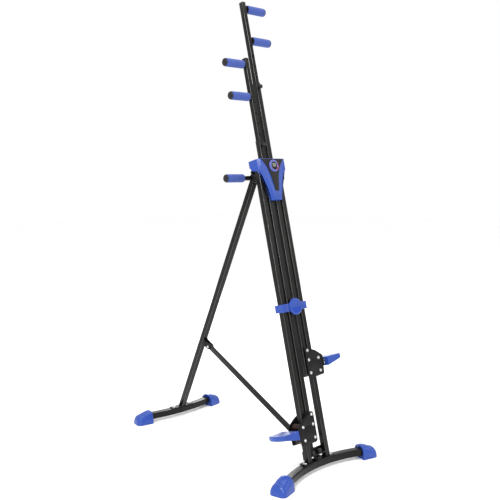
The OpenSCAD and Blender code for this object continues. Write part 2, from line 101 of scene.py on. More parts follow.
class Finish:
    """A Principled material with its colour, roughness and surface varied by object-space noise."""

    def __init__(self, name, color, rough, **sockets):
        self.mat = bpy.data.materials.new(name)
        self.mat.use_nodes = True
        self.tree = self.mat.node_tree
        self.shader = self.tree.nodes["Principled BSDF"]
        self.color = color
        self.rough = rough
        self.coords = self.tree.nodes.new("ShaderNodeTexCoord").outputs["Object"]
        self.shader.inputs["Base Color"].default_value = (*color, 1)
        self.shader.inputs["Roughness"].default_value = rough
        for key, value in sockets.items():
            self.shader.inputs[key.replace("_", " ")].default_value = value

    def noise(self, scale, detail=3.0, stretch=(1, 1, 1)):
        place = self.tree.nodes.new("ShaderNodeMapping")
        place.inputs["Scale"].default_value = stretch
        self.tree.links.new(self.coords, place.inputs["Vector"])
        node = self.tree.nodes.new("ShaderNodeTexNoise")
        node.inputs["Scale"].default_value = scale
        node.inputs["Detail"].default_value = detail
        self.tree.links.new(place.outputs["Vector"], node.inputs["Vector"])
        return node.outputs["Fac"]

    def ramp(self, fac, low, high, start=0.3, end=0.7):
        node = self.tree.nodes.new("ShaderNodeMapRange")
        node.inputs["From Min"].default_value = start
        node.inputs["From Max"].default_value = end
        node.inputs["To Min"].default_value = low
        node.inputs["To Max"].default_value = high
        self.tree.links.new(fac, node.inputs["Value"])
        return node.outputs["Result"]

    def mottle(self, scale, amount, stretch=(1, 1, 1)):
        """Colour wanders by +-amount of itself."""
        mix = self.tree.nodes.new("ShaderNodeMix")
        mix.data_type = "RGBA"
        mix.inputs["A"].default_value = (*[c * (1 - amount) for c in self.color], 1)
        mix.inputs["B"].default_value = (*[min(1, c * (1 + amount)) for c in self.color], 1)
        fac = self.ramp(self.noise(scale, stretch=stretch), 0, 1)
        self.tree.links.new(fac, mix.inputs["Factor"])
        self.tree.links.new(mix.outputs["Result"], self.shader.inputs["Base Color"])
        return self

    def uneven(self, scale, amount):
        """Roughness wanders by +-amount."""
        out = self.ramp(self.noise(scale), self.rough - amount, self.rough + amount)
        self.tree.links.new(out, self.shader.inputs["Roughness"])
        return self

    def grain(self, scale, depth, detail=2.0, stretch=(1, 1, 1), cells=False):
        """Fine surface relief, depth in metres."""
        bump = self.tree.nodes.new("ShaderNodeBump")
        bump.inputs["Distance"].default_value = depth
        if cells:
            node = self.tree.nodes.new("ShaderNodeTexVoronoi")
            node.inputs["Scale"].default_value = scale
            self.tree.links.new(self.coords, node.inputs["Vector"])
            height = node.outputs["Distance"]
        else:
            height = self.noise(scale, detail, stretch)
        self.tree.links.new(height, bump.inputs["Height"])
        self.tree.links.new(bump.outputs["Normal"], self.shader.inputs["Normal"])
        return self


def make_finishes():
    f = {}
    f["black_powder_coat"] = Finish("black_powder_coat", (0.0062, 0.0056, 0.0052), 0.30,
        Specular_IOR_Level=0.17).mottle(14, 0.2).uneven(9, 0.05).grain(900, 0.00004)
    # Painted highlight: a glossier copy of the black powder coat with a lighter colour, laid on the tube
    # corners
    f["black_edge_painted_highlight"] = Finish("black_edge_painted_highlight", (0.020, 0.019, 0.018), 0.26,
        Specular_IOR_Level=1.0).mottle(14, 0.2).grain(900, 0.00003)
    f["plate_paint"] = Finish("plate_paint", (0.0058, 0.0054, 0.0052), 0.42,
        Specular_IOR_Level=0.15).mottle(20, 0.2).uneven(12, 0.05).grain(1100, 0.00005)
    f["blue_moulding"] = Finish("blue_moulding", (0.016, 0.055, 0.30), 0.24,
        Specular_IOR_Level=0.32, Coat_Weight=0.12, Coat_Roughness=0.12).mottle(16, 0.06).uneven(
        11, 0.04).grain(500, 0.00003)
    f["deep_blue"] = Finish("deep_blue", (0.008, 0.045, 0.33), 0.34,
        Specular_IOR_Level=0.2).mottle(16, 0.06).uneven(11, 0.04).grain(700, 0.00005)
    f["timer_blue"] = Finish("timer_blue", (0.075, 0.085, 0.33), 0.2,
        Specular_IOR_Level=0.5, Coat_Weight=0.3, Coat_Roughness=0.1).mottle(30, 0.05).uneven(20, 0.03)
    f["blue_foam"] = Finish("blue_foam", (0.046, 0.082, 0.31), 0.8,
        Specular_IOR_Level=0.2, Sheen_Weight=0.12).mottle(260, 0.18).uneven(40, 0.05).grain(
        1500, 0.00025, cells=True)
    f["black_plastic"] = Finish("black_plastic", (0.012, 0.011, 0.011), 0.38,
        Specular_IOR_Level=0.25).mottle(30, 0.15).uneven(25, 0.05).grain(1400, 0.00004)
    f["insert_plastic"] = Finish("insert_plastic", (0.013, 0.0125, 0.012), 0.45,
        Specular_IOR_Level=0.2).mottle(30, 0.1).uneven(30, 0.04).grain(1500, 0.00005)
    f["zinc_steel"] = Finish("zinc_steel", (0.55, 0.55, 0.54), 0.24,
        Metallic=1.0).mottle(80, 0.06).uneven(90, 0.06).grain(700, 0.00002)
    f["nylon"] = Finish("nylon", (0.010, 0.0095, 0.009), 0.5,
        Specular_IOR_Level=0.2).mottle(40, 0.12).uneven(40, 0.05).grain(800, 0.00006)
    f["roller_nylon"] = Finish("roller_nylon", (0.022, 0.010, 0.008), 0.36,
        Specular_IOR_Level=0.22).mottle(40, 0.12).uneven(40, 0.05).grain(800, 0.00005)
    f["bumper_rubber"] = Finish("bumper_rubber", (0.013, 0.013, 0.013), 0.6,
        Specular_IOR_Level=0.4).mottle(60, 0.15).uneven(60, 0.06).grain(900, 0.0001)
    f["rope_fibre"] = Finish("rope_fibre", (0.05, 0.05, 0.055), 0.85,
        Sheen_Weight=0.2).mottle(900, 0.3).grain(2500, 0.0003)
    f["lcd"] = Finish("lcd", (0.16, 0.19, 0.13), 0.3,
        Specular_IOR_Level=0.25, Coat_Weight=0.2, Coat_Roughness=0.1).mottle(30, 0.06).uneven(30, 0.02)
    f["lcd_ink"] = Finish("lcd_ink", (0.03, 0.035, 0.03), 0.4).mottle(60, 0.1)
    f["red_button"] = Finish("red_button", (0.30, 0.012, 0.05), 0.25,
        Coat_Weight=0.15, Coat_Roughness=0.1).mottle(60, 0.08).uneven(50, 0.03)
    return f


FINISHES = make_finishes()
SLOTS = {row["node"]: row["material_slot"] for row in frame["record"]["subparts"]}
BODIES = {n: b for b, nodes in frame["record"]["behaviour"]["bodies"].items() for n in nodes}
JOINTS = {j["name"]: j for j in frame["record"]["behaviour"]["joints"]}

# ---- places taken from the joints ----

RAIL_S = Vector(JOINTS["left_slide"]["axis"]).normalized()
RAIL_Q = Vector(JOINTS["timer_press"]["axis"]).normalized()
CARRIAGE_S = 155 * MM
low_roller = Vector(JOINTS["left_lower_roller_spin"]["pos_m"])
RAIL_O = Vector((0, low_roller.y, low_roller.z)) - RAIL_S * CARRIAGE_S


def axes(origin, x, y, z):
    m = Matrix.Identity(4)
    for col, v in enumerate((x, y, z, origin)):
        for row in range(3):
            m[row][col] = v[row]
    return m


X = Vector((1, 0, 0))
RAIL = axes(RAIL_O, X, RAIL_Q, RAIL_S)
HINGE = Vector(JOINTS["leg_fold"]["pos_m"])
PIVOT = Vector(JOINTS["brace_fold"]["pos_m"])
drop = math.atan2(PIVOT.y - HINGE.y, HINGE.z - PIVOT.z) + math.atan2(61, 927)
LEG = Matrix.Translation(HINGE) @ Matrix.Rotation(drop, 4, "X")
RISE = (JOINTS["right_lower_roller_spin"]["pos_m"][2] - low_roller.z) / RAIL_S.z
lock_low, lock_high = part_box("brace_lock_pin")
LOCK = (lock_low + lock_high) / 2
LOCK.x = 0


def side_frame(sign):
    """Slider frame of one side: x outwards, q to the rear, s up the rail."""
    lift = RISE if sign > 0 else 0
    return axes(RAIL_O + RAIL_S * lift, X * sign, RAIL_Q, RAIL_S)


# ---- mesh helpers ----

def finish_mesh(obj, finish, body, nodes=(), slot=None, smooth=True):
    obj.data.materials.clear()
    obj.data.materials.append(FINISHES[finish].mat)
    if smooth:
        obj.data.shade_smooth()
    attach(obj, body)
    if nodes:
        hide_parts(*nodes)
    slot = slot or (SLOTS[nodes[0]] if nodes else None)
    return obj


def new_object(name, verts, faces, matrix=None):
    mesh = bpy.data.meshes.new(name)
    mesh.from_pydata([tuple(v) for v in verts], [], faces)
    if matrix is not None:
        mesh.transform(matrix)
    bm = bmesh.new()
    bm.from_mesh(mesh)
    bmesh.ops.recalc_face_normals(bm, faces=bm.faces)
    bm.to_mesh(mesh)
    bm.free()
    obj = bpy.data.objects.new(name, mesh)
    bpy.context.scene.collection.objects.link(obj)
    return obj


def merge(*parts):
    """Joins (verts, faces) parts into one list pair."""
    verts, faces = [], []
    for v, f in parts:
        base = len(verts)
        verts += [tuple(p) for p in v]
        faces += [[base + i for i in face] for face in f]
    return verts, faces


def moved(part, matrix):
    verts, faces = part
    return [matrix @ Vector(v) for v in verts], faces


def lathe(profile, segs=40, closed=False):
    """Rings about Z from (radius, height) points; a zero radius closes with a point."""
    verts, rings = [], []
    for r, h in profile:
        if r < 1e-7:
            rings.append([len(verts)])
            verts.append((0, 0, h))
        else:
            rings.append(list(range(len(verts), len(verts) + segs)))
            verts += [(r * math.cos(2 * math.pi * i / segs), r * math.sin(2 * math.pi * i / segs), h)
                      for i in range(segs)]
    faces = []
    pairs = list(zip(rings, rings[1:])) + ([(rings[-1], rings[0])] if closed else [])
    for a, b in pairs:
        for i in range(segs):
            j = (i + 1) % segs
            if len(a) == 1 and len(b) == 1:
                continue
            if len(a) == 1:
                faces.append([a[0], b[j], b[i]])
            elif len(b) == 1:
                faces.append([a[i], a[j], b[0]])
            else:
                faces.append([a[i], a[j], b[j], b[i]])
    return verts, faces


def lathe_mm(profile, segs=40, closed=False):
    """lathe() for a profile in millimetres."""
    return lathe([(r * MM, h * MM) for r, h in profile], segs, closed)


def rounded_rect(w, d, r, steps=4):
    pts = []
    for cx, cy, start in ((1, 1, 0), (-1, 1, 90), (-1, -1, 180), (1, -1, 270)):
        for k in range(steps + 1):
            a = math.radians(start + 90 * k / steps)
            pts.append((cx * (w / 2 - r) + r * math.cos(a), cy * (d / 2 - r) + r * math.sin(a)))
    return pts


def loft(rings, cap_start=True, cap_end=True):
    n = len(rings[0])
    verts = [p for ring in rings for p in ring]
    faces = []
    for k in range(len(rings) - 1):
        for i in range(n):
            j = (i + 1) % n
            faces.append([k * n + i, k * n + j, (k + 1) * n + j, (k + 1) * n + i])
    if cap_start:
        faces.append(list(range(n - 1, -1, -1)))
    if cap_end:
        faces.append([(len(rings) - 1) * n + i for i in range(n)])
    return verts, faces


def tube_part(w, d, r, t, z0, z1, edge=0.0006):
    """A hollow rounded tube along Z, with its rims eased. z0 and z1 may be functions of (x, y)."""
    low = z0 if callable(z0) else (lambda x, y: z0)
    high = z1 if callable(z1) else (lambda x, y: z1)
    outer = rounded_rect(w, d, r)
    mid = rounded_rect(w - 2 * edge, d - 2 * edge, max(r - edge, 0.0004))
    inner = rounded_rect(w - 2 * t, d - 2 * t, max(r - t, 0.0006))
    rings = [[(x, y, low(x, y) + 0.04) for x, y in inner], [(x, y, low(x, y)) for x, y in inner],
             [(x, y, low(x, y)) for x, y in mid], [(x, y, low(x, y) + edge) for x, y in outer]]
    count = 8
    for k in range(1, count):
        f = k / count
        rings.append([(x, y, (low(x, y) + edge) * (1 - f) + (high(x, y) - edge) * f) for x, y in outer])
    rings += [[(x, y, high(x, y) - edge) for x, y in outer], [(x, y, high(x, y)) for x, y in mid],
              [(x, y, high(x, y)) for x, y in inner], [(x, y, high(x, y) - 0.04) for x, y in inner]]
    return loft(rings)


def paint_corner_highlights(obj, matrix):
    """The tight corner radii of a tube along Z of matrix take a glossier, lighter copy of the powder coat:
    a painted highlight along the edges.
    """
    obj.data.materials.append(FINISHES["black_edge_painted_highlight"].mat)
    back = matrix.to_3x3().inverted()
    for face in obj.data.polygons:
        n = back @ face.normal
        if abs(n.x) > 0.2 and abs(n.y) > 0.2 and abs(n.z) < 0.3:
            face.material_index = 1


def box_part(x0, x1, y0, y1, z0, z1):
    v = [(x, y, z) for z in (z0, z1) for y in (y0, y1) for x in (x0, x1)]
    return v, [[0, 2, 3, 1], [4, 5, 7, 6], [0, 1, 5, 4], [2, 6, 7, 3], [0, 4, 6, 2], [1, 3, 7, 5]]


def prism_part(outline, z0, z1):
    """Polygon (x, y) pushed from z0 to z1."""
    return loft([[(x, y, z0) for x, y in outline], [(x, y, z1) for x, y in outline]])


def ease(obj, width, segments=2, angle=30):
    """Rounds the sharp edges of a piece."""
    mod = obj.modifiers.new("edges", "BEVEL")
    mod.width = width
    mod.segments = segments
    mod.limit_method = "ANGLE"
    mod.angle_limit = math.radians(angle)
    mod.harden_normals = True
    mod.use_clamp_overlap = True
    return obj


def bake(obj):
    """The evaluated mesh takes the place of the modifiers."""
    bpy.context.view_layer.update()
    graph = bpy.context.evaluated_depsgraph_get()
    mesh = bpy.data.meshes.new_from_object(obj.evaluated_get(graph))
    obj.modifiers.clear()
    obj.data = mesh
    return obj


def carve(obj, part, matrix=None):
    """Cuts a closed part out of a piece."""
    cutter = new_object("cutter", *part, matrix)
    mod = obj.modifiers.new("cut", "BOOLEAN")
    mod.operation = "DIFFERENCE"
    mod.solver = "EXACT"
    mod.object = cutter
    bake(obj)
    bpy.data.objects.remove(cutter)
    return obj


def eased_copy(node, width, finish=None, segments=2, name=None):
    """The CAD node's own shape with rounded edges."""
    src = frame["nodes"][node]
    mesh = src.data.copy()
    mesh.transform(src.matrix_world)
    bm = bmesh.new()
    bm.from_mesh(mesh)
    bmesh.ops.remove_doubles(bm, verts=bm.verts, dist=2e-5)
    bmesh.ops.dissolve_limit(bm, angle_limit=math.radians(1.5), verts=bm.verts, edges=bm.edges)
    bm.to_mesh(mesh)
    bm.free()
    obj = bpy.data.objects.new(name or node + "_eased", mesh)
    bpy.context.scene.collection.objects.link(obj)
    ease(obj, width, segments)
    return finish_mesh(obj, finish or SLOTS[node], BODIES[node], [node])


# ---- rails, tubes and base ----

FLOOR_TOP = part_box("foot_plate")[0].z + 4 * MM
BLACK = "black_powder_coat"
BASE_W = 38 * MM         # width of the base tubes
RAIL_X = 58.5 * MM       # rails, from the middle plane


def rail_floor(matrix):
    """Height along Z of matrix at which a tube meets the top of the floor plate."""
    o, z = matrix.translation, matrix.col[2].to_3d()
    x, y = matrix.col[0].to_3d(), matrix.col[1].to_3d()
    return lambda a, b: (FLOOR_TOP - o.z - a * x.z - b * y.z) / z.z


def build_rails():
    for name, sign in (("left", -1), ("right", 1)):
        m = RAIL @ Matrix.Translation((sign * RAIL_X, 0, 0))
        part = tube_part(25 * MM, 28 * MM, 2.6 * MM, 2 * MM, rail_floor(m), 1400 * MM)
        rail = finish_mesh(new_object(name + "_rail_round", *part, m), BLACK, "frame", [name + "_rail"])
        paint_corner_highlights(rail, m)


def arc_tube(name, node, radius, half_x, sign):
    """A base tube on its arc; sign is the Y side its ends sweep to."""
    low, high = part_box(node)
    flat = rounded_rect(BASE_W, 32 * MM, 5.5 * MM, 6)
    mid_z = (low.z + high.z) / 2
    far_edge = high.y if sign < 0 else low.y
    centre_y = far_edge + sign * (radius + BASE_W / 2)
    sweep = math.asin(half_x / radius)
    rings = []
    for k in range(65):
        a = -sweep + 2 * sweep * k / 64
        out = Vector((math.sin(a), -sign * math.cos(a), 0))
        rings.append([Vector((0, centre_y, mid_z)) + out * (radius + u) + Vector((0, 0, v))
                      for u, v in flat])
    finish_mesh(new_object(name, *loft(rings)), BLACK, BODIES[node], [node])


def cap_top(mm):
    """Height of a foot cap, in mm, at mm from its inner face."""
    if mm <= 10:
        return 62.0
    if mm <= 58:
        return 62 - 14.5 * ((mm - 10) / 48) ** 1.6
    return 7 + 40.5 * math.sqrt(max(0, 1 - ((mm - 58) / 28) ** 2.2))


def cap_wide(mm):
    """Half width of a foot cap, in mm, at mm from its inner face."""
    if mm <= 60:
        return 40.0
    return 16 + 24 * math.sqrt(max(0, 1 - ((mm - 60) / 26) ** 2.6))


def cap_ring(mm, shrink=0.0, lift=0.0):
    """Arch section of a foot cap at mm from its inner face."""
    top, wide = cap_top(mm) - shrink, cap_wide(mm) - shrink
    pts = []
    for k in range(29):
        c, s = math.cos(math.pi * k / 28), math.sin(math.pi * k / 28)
        flare = 1 - 0.10 * s ** 2
        pts.append((mm, wide * math.copysign(abs(c) ** (2 / 2.8), c) * flare,
                    lift + (top - lift) * abs(s) ** (2 / 2.8)))
    pts += [(mm, -wide + 2 * wide * k / 7, lift) for k in range(1, 7)]
    return [(u * MM, w * MM, z * MM) for u, w, z in pts]


def cap_part():
    """A moulded foot cap about its inner face's middle: u outwards, w along the machine, z up."""
    stops = [1.2, 4, 8, 13, 19, 26, 33, 40, 47, 53, 58, 63, 68, 72, 76, 79, 81.5, 83.5, 85, 85.8]
    rings = [[(u + d * MM, w, z) for u, w, z in cap_ring(0, shrink, lift)]
             for d, shrink, lift in ((3, 6, 2), (0.4, 3.2, 1), (0, 1.2, 0))]
    rings += [cap_ring(u, 0.6 if u < 3 else 0.0) for u in stops]
    return loft(rings)


def rim_part():
    """The thin foot rim round the bottom of a cap."""
    stops = [1, 20, 40, 60, 66, 71, 75, 78, 80.5, 82.5, 84, 85.2, 86]
    pts = [(u, -cap_wide(u)) for u in stops] + [(u, cap_wide(u)) for u in reversed(stops)]
    outer = [(u * MM, w * MM) for u, w in pts]
    inner = [(max(u - 1.4, 1.4) * MM, w * 0.965 * MM) for u, w in pts]
    return loft([[(u, w, 0.3 * MM) for u, w in inner], [(u, w, 0) for u, w in inner],
                 [(u, w, 0.6 * MM) for u, w in outer], [(u, w, 3.2 * MM) for u, w in outer],
                 [(u, w, 4.2 * MM) for u, w in inner]])


def build_caps():
    for node, turn, x, back in (("front_foot_caps", 15, 241, False), ("rear_foot_caps", 10, 192, True)):
        low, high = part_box(node)
        reach = 64 * math.sin(math.radians(turn)) + 18 * math.cos(math.radians(turn)) + 22
        y = high.y - reach * MM if back else low.y + reach * MM
        spin = Matrix.Rotation(math.radians(turn if back else -turn), 4, "Z")
        right = Matrix.Translation((x * MM, y, 0)) @ spin
        flip = Matrix.Diagonal((-1, 1, 1, 1))
        for tag, m in (("right", right), ("left", flip @ right)):
            cap = new_object(f"{node}_{tag}", *cap_part(), m)
            finish_mesh(cap, "blue_moulding", BODIES[node], [node])
            ease(cap, 1.0 * MM, 2, 50)
            rim = new_object(f"{node}_{tag}_rim", *rim_part(), m)
            finish_mesh(rim, "blue_moulding", BODIES[node], [node])
            ease(rim, 0.4 * MM, 1, 40)


def bolt_head(r=9.5, dome=8.0, h=5.0):
    """A domed bolt head on its washer."""
    pts = [(0, 0), (r, 0), (r + 0.3, 0.4), (r, 1.3), (r - 0.8, 1.6), (dome, 1.6), (dome, 2.3)]
    for k in range(1, 9):
        a = math.radians(90 * k / 8)
        pts.append((dome * math.cos(a) ** 0.8 if k < 8 else 0, 2.3 + (h - 0.7) * math.sin(a)))
    return lathe_mm(pts)


def hex_nut(r=7.5, h=6.5):
    ring = [(r * math.cos(math.pi * k / 3) * MM, r * math.sin(math.pi * k / 3) * MM) for k in range(6)]
    return prism_part(ring, 0, h * MM)


def build_base_bolts():
    for node, xs in (("front_base_bolts", 82), ("rear_base_bolts", 50)):
        low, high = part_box(node)
        y = (low.y + high.y) / 2
        parts = [moved(bolt_head(), Matrix.Translation((s * xs * MM, y, FLOOR_TOP))) for s in (-1, 1)]
        shanks = [moved(lathe([(0, 0), (4 * MM, 0), (4 * MM, 39 * MM), (0, 39 * MM)]),
                        Matrix.Translation((s * xs * MM, y, low.z))) for s in (-1, 1)]
        finish_mesh(new_object(node + "_domed", *merge(*parts, *shanks)), "zinc_steel",
                    BODIES[node], [node])


def ring_profile(r_in, r_out, length, ease_by, bulge=0.0):
    """Closed profile of a sleeve with rounded rims."""
    pts = [(r_in, ease_by * 0.5), (r_in + ease_by * 0.5, 0), (r_out - ease_by, 0)]
    for k in range(1, 7):
        a = math.radians(90 * k / 6)
        pts.append((r_out - ease_by + ease_by * math.sin(a), ease_by - ease_by * math.cos(a)))
    pts.append((r_out + bulge, length / 2))
    for k in range(7):
        a = math.radians(90 * k / 6)
        pts.append((r_out - ease_by + ease_by * math.cos(a), length - ease_by + ease_by * math.sin(a)))
    pts += [(r_in + ease_by * 0.5, length), (r_in, length - ease_by * 0.5)]
    return pts


SLIDER_X = 22 * MM       # slider and handle tubes, from the middle plane
KNOB_S = 1482            # mm up the slider to the height pin
HOLE_PITCH = 50
PULLEY_S = 1333 * MM

ALONG_X = Matrix.Rotation(math.radians(90), 4, "Y")
TO_FRONT = Matrix.Rotation(math.radians(90), 4, "X")
TO_BACK = Matrix.Rotation(math.radians(-90), 4, "X")


def foam_part(x0, x1):
    part = lathe(ring_profile(11.2 * MM, 19 * MM, (x1 - x0) * MM, 2.6 * MM), 56, closed=True)
    return moved(part, Matrix.Translation((x0 * MM, 0, 0)) @ ALONG_X)


def plug_part(x):
    pts = [(0, 0), (17.5, 0), (17.9, 0.5), (17.6, 2.6), (16.6, 4.2), (14.6, 5.6), (11.5, 6.5),
           (6, 6.95), (0, 7)]
    return moved(lathe_mm(pts, 56), Matrix.Translation((x * MM, 0, 0)) @ ALONG_X)


def ring_part(x):
    """The dark lip that closes a grip at its inner end."""
    pts = ring_profile(11.1 * MM, 16.5 * MM, 2.6 * MM, 0.8 * MM)
    return moved(lathe(pts, 48, closed=True), Matrix.Translation((x * MM, 0, 0)) @ ALONG_X)


def build_handlebar():
    m = Matrix.Translation(HINGE)
    bar = ring_profile(9 * MM, 11 * MM, 354 * MM, 0.6 * MM)
    part = moved(lathe(bar, 48, closed=True), Matrix.Translation((-177 * MM, 0, 0)) @ ALONG_X)
    finish_mesh(new_object("handlebar_round", *part, m), BLACK, "frame", ["handlebar"])
    for tag, sign in (("left", -1), ("right", 1)):
        ms = m @ Matrix.Diagonal((sign, 1, 1, 1))
        grip = new_object(f"handlebar_grip_{tag}", *foam_part(77, 176.6), ms)
        finish_mesh(grip, "blue_foam", "frame", ["handlebar_grips"])
        finish_mesh(new_object(f"handlebar_plug_{tag}", *plug_part(177), ms), "black_plastic",
                    "frame", ["handlebar_end_caps"])
        finish_mesh(new_object(f"handlebar_lip_{tag}", *ring_part(74.6), ms), "black_plastic",
                    "frame", slot="black_plastic")


def build_handles():
    for name, sign in (("left", -1), ("right", 1)):
        m = side_frame(sign)
        top = 1895 * MM
        body = name + "_handle"
        centre = Matrix.Translation((SLIDER_X, 0, 0))
        part = tube_part(21 * MM, 24 * MM, 2.4 * MM, 1.5 * MM, 1175 * MM, top - 3 * MM)
        tube = new_object(name + "_handle_tube_round", *moved(part, centre), m)
        holes = [moved(lathe([(0, 0), (4 * MM, 0), (4 * MM, 24 * MM), (0, 24 * MM)], 24),
                       Matrix.Translation((SLIDER_X, -4 * MM, (KNOB_S + HOLE_PITCH * k) * MM)) @ TO_FRONT)
                 for k in range(-4, 5)]
        carve(tube, merge(*holes), m)
        finish_mesh(tube, BLACK, body, [name + "_handle_tube"])
        paint_corner_highlights(tube, m)
        ease(tube, 0.4 * MM, 2, 60)
        pegs, lips, plugs = [], [], []
        for k in (0, 1):
            up = Matrix.Translation((0, 0, top - (30 + 154 * k) * MM))
            pts = [(0, 0), (13, 0), (13, 0.8), (11.8, 1.6), (11, 3.2), (11, 118), (0, 118)]
            pegs.append(moved(lathe_mm(pts, 48),
                              up @ Matrix.Translation((31.5 * MM, 0, 0)) @ ALONG_X))
            lips.append(moved(ring_part(41.6), up))
            plugs.append(moved(plug_part(150), up))
            grip = new_object(f"{name}_grip_{'upper' if k == 0 else 'lower'}",
                              *moved(foam_part(44, 149.6), up), m)
            finish_mesh(grip, "blue_foam", body, [name + "_grips"])
        peg = new_object(name + "_handle_pegs", *merge(*pegs), m)
        finish_mesh(peg, BLACK, body, [name + "_handle_tube"])
        ease(peg, 0.3 * MM, 2, 60)
        cap = moved(box_part(-10.5 * MM, 10.5 * MM, -12 * MM, 12 * MM, top - 3 * MM, top), centre)
        finish_mesh(new_object(name + "_handle_plug_ends", *merge(*plugs), m), "black_plastic",
                    body, [name + "_handle_plugs"])
        ends = new_object(name + "_handle_top_cap", *cap, m)
        finish_mesh(ends, "black_plastic", body, [name + "_handle_plugs"])
        ease(ends, 1.6 * MM, 3)
        finish_mesh(new_object(name + "_handle_lips", *merge(*lips), m), "black_plastic",
                    body, slot="black_plastic")


# ---- sliders and carriages ----

INNER = ((22, 101), (22, 58), (22, 0))
OUTER = ((86, 58), (86, 0))


def build_slider(name, sign):
    m = side_frame(sign)
    body = name + "_slider"
    tube = moved(tube_part(25 * MM, 28 * MM, 2.6 * MM, 1.5 * MM, 140 * MM, 1502 * MM),
                 Matrix.Translation((SLIDER_X, 0, 0)))
    slider = new_object(name + "_slider_round", *tube, m)
    finish_mesh(slider, BLACK, body, [name + "_slider_tube"])
    paint_corner_highlights(slider, m)
    lug_part = box_part(17 * MM, 27 * MM, 14 * MM, 26 * MM, 290 * MM, 303.6 * MM)
    lug = new_object(name + "_rope_lug", *lug_part, m)
    finish_mesh(lug, BLACK, body, [name + "_slider_tube"])
    ease(lug, 1.2 * MM, 3)
    heads, dark = [], []
    for x, v in INNER + OUTER:
        at = Matrix.Translation((x * MM, 0, CARRIAGE_S + v * MM))
        heads.append(moved(bolt_head(6.9, 5.6, 3.6), at @ Matrix.Translation((0, -31 * MM, 0)) @ TO_FRONT))
        dark.append(moved(hex_nut(), at @ Matrix.Translation((0, 31 * MM, 0)) @ TO_BACK))
        shank = lathe([(0, 0), (4 * MM, 0), (4 * MM, 62 * MM), (0, 62 * MM)], 24)
        dark.append(moved(shank, at @ Matrix.Translation((0, 31 * MM, 0)) @ TO_FRONT))
    for x, v in INNER:
        for q in (-27, 14):
            at = Matrix.Translation((x * MM, (q + 13) * MM, CARRIAGE_S + v * MM))
            spacer = lathe(ring_profile(4 * MM, 7 * MM, 13 * MM, 0.6 * MM), 32, closed=True)
            dark.append(moved(spacer, at @ TO_FRONT))
    finish_mesh(new_object(name + "_bolt_heads", *merge(*heads), m), "zinc_steel", body,
                [name + "_carriage_bolts"])
    nuts = new_object(name + "_nuts_and_spacers", *merge(*dark), m)
    finish_mesh(nuts, "nylon", body, [name + "_carriage_bolts"], "nylon")
    ease(nuts, 0.5 * MM, 2, 40)
    for face in ("front", "rear"):
        eased_copy(f"{name}_{face}_plate", 0.9 * MM, "plate_paint")
    eased_copy(name + "_nylon_guides", 0.6 * MM)
    for level, v in (("upper", 58), ("lower", 0)):
        pts = [(4.05, 0), (12.6, 0), (14.2, 0.7), (14.7, 2.2), (14.7, 20.5), (13.2, 22), (12.9, 25.5),
               (13.2, 29), (14.7, 30.5), (14.7, 48.8), (14.2, 50.3), (12.6, 51), (4.05, 51)]
        at = Matrix.Translation((86 * MM, 25.5 * MM, CARRIAGE_S + v * MM)) @ TO_FRONT
        roller = new_object(f"{name}_{level}_roller_turned",
                            *moved(lathe_mm(pts, 48, closed=True), at), m)
        finish_mesh(roller, "roller_nylon", f"{name}_{level}_roller", [f"{name}_{level}_roller"])
        ease(roller, 0.3 * MM, 1, 50)
    build_pedal(name, m, body)
    build_knob(name, m)


def build_pedal(name, m, body):
    """Moulded foot plate: a tapered slab with a raised, dotted tread, on a dark arm."""
    tread = CARRIAGE_S + 52 * MM
    tilt = Matrix.Translation((0, 0, tread)) @ Matrix.Rotation(math.radians(-3), 4, "X")
    x0, out, front, depth = 130, 222.5, -45, 98      # mm: root, tip, front edge, width
    rings = []
    count = 20
    for k in range(count + 1):
        f = k / count
        q = front + depth * f
        bow = math.sqrt(100 ** 2 - (depth * (f - 0.5)) ** 2) - 90
        tip = out + min(bow, 10)
        rings.append([(x, q, z) for x, z in ((x0, 0), (tip - 2.5, 0), (tip, -3.2), (tip, -18),
                                             (tip - 7, -23), (x0, -40))])
    part = loft([[(x * MM, q * MM, z * MM) for x, q, z in ring] for ring in rings])
    pedal = new_object(name + "_pedal_slab", *moved(part, tilt), m)
    finish_mesh(pedal, "blue_moulding", body, [name + "_pedal"])
    ease(pedal, 1.6 * MM, 3, 25)
    dots = []
    cone = lathe([(2.1 * MM, -0.4 * MM), (2.1 * MM, 0.15 * MM), (1.5 * MM, 0.75 * MM), (0, 0.9 * MM)], 10)
    for i in range(14):
        for j in range(14):
            x = x0 + 7 + i * 7.2
            q = front + 6 + j * 6.6
            if x < out - 3:
                dots.append(moved(cone, tilt @ Matrix.Translation((x * MM, q * MM, 0))))
    lowered = Matrix.Translation((0, 0, -0.9 * MM))
    tread_dots = new_object(name + "_pedal_tread", *moved(merge(*dots), lowered), m)
    finish_mesh(tread_dots, "blue_moulding", body, [name + "_pedal"])
    arm_q = 26.5 * MM
    arm = box_part(102.5 * MM, 131.5 * MM, -arm_q, arm_q, tread - 32 * MM, tread - 5 * MM)
    root = new_object(name + "_pedal_arm", *arm, m)
    finish_mesh(root, "plate_paint", body, [name + "_pedal"], "black_powder_coat")
    ease(root, 1.2 * MM, 2)
    studs = []
    for z in (11, 18.5, 26):
        at = Matrix.Translation((125 * MM, -arm_q, tread - z * MM)) @ TO_FRONT
        studs.append(moved(bolt_head(2.6, 2.2, 1.6), at))
    stud_row = new_object(name + "_pedal_studs", *merge(*studs), m)
    finish_mesh(stud_row, "zinc_steel", body, slot="zinc_steel")


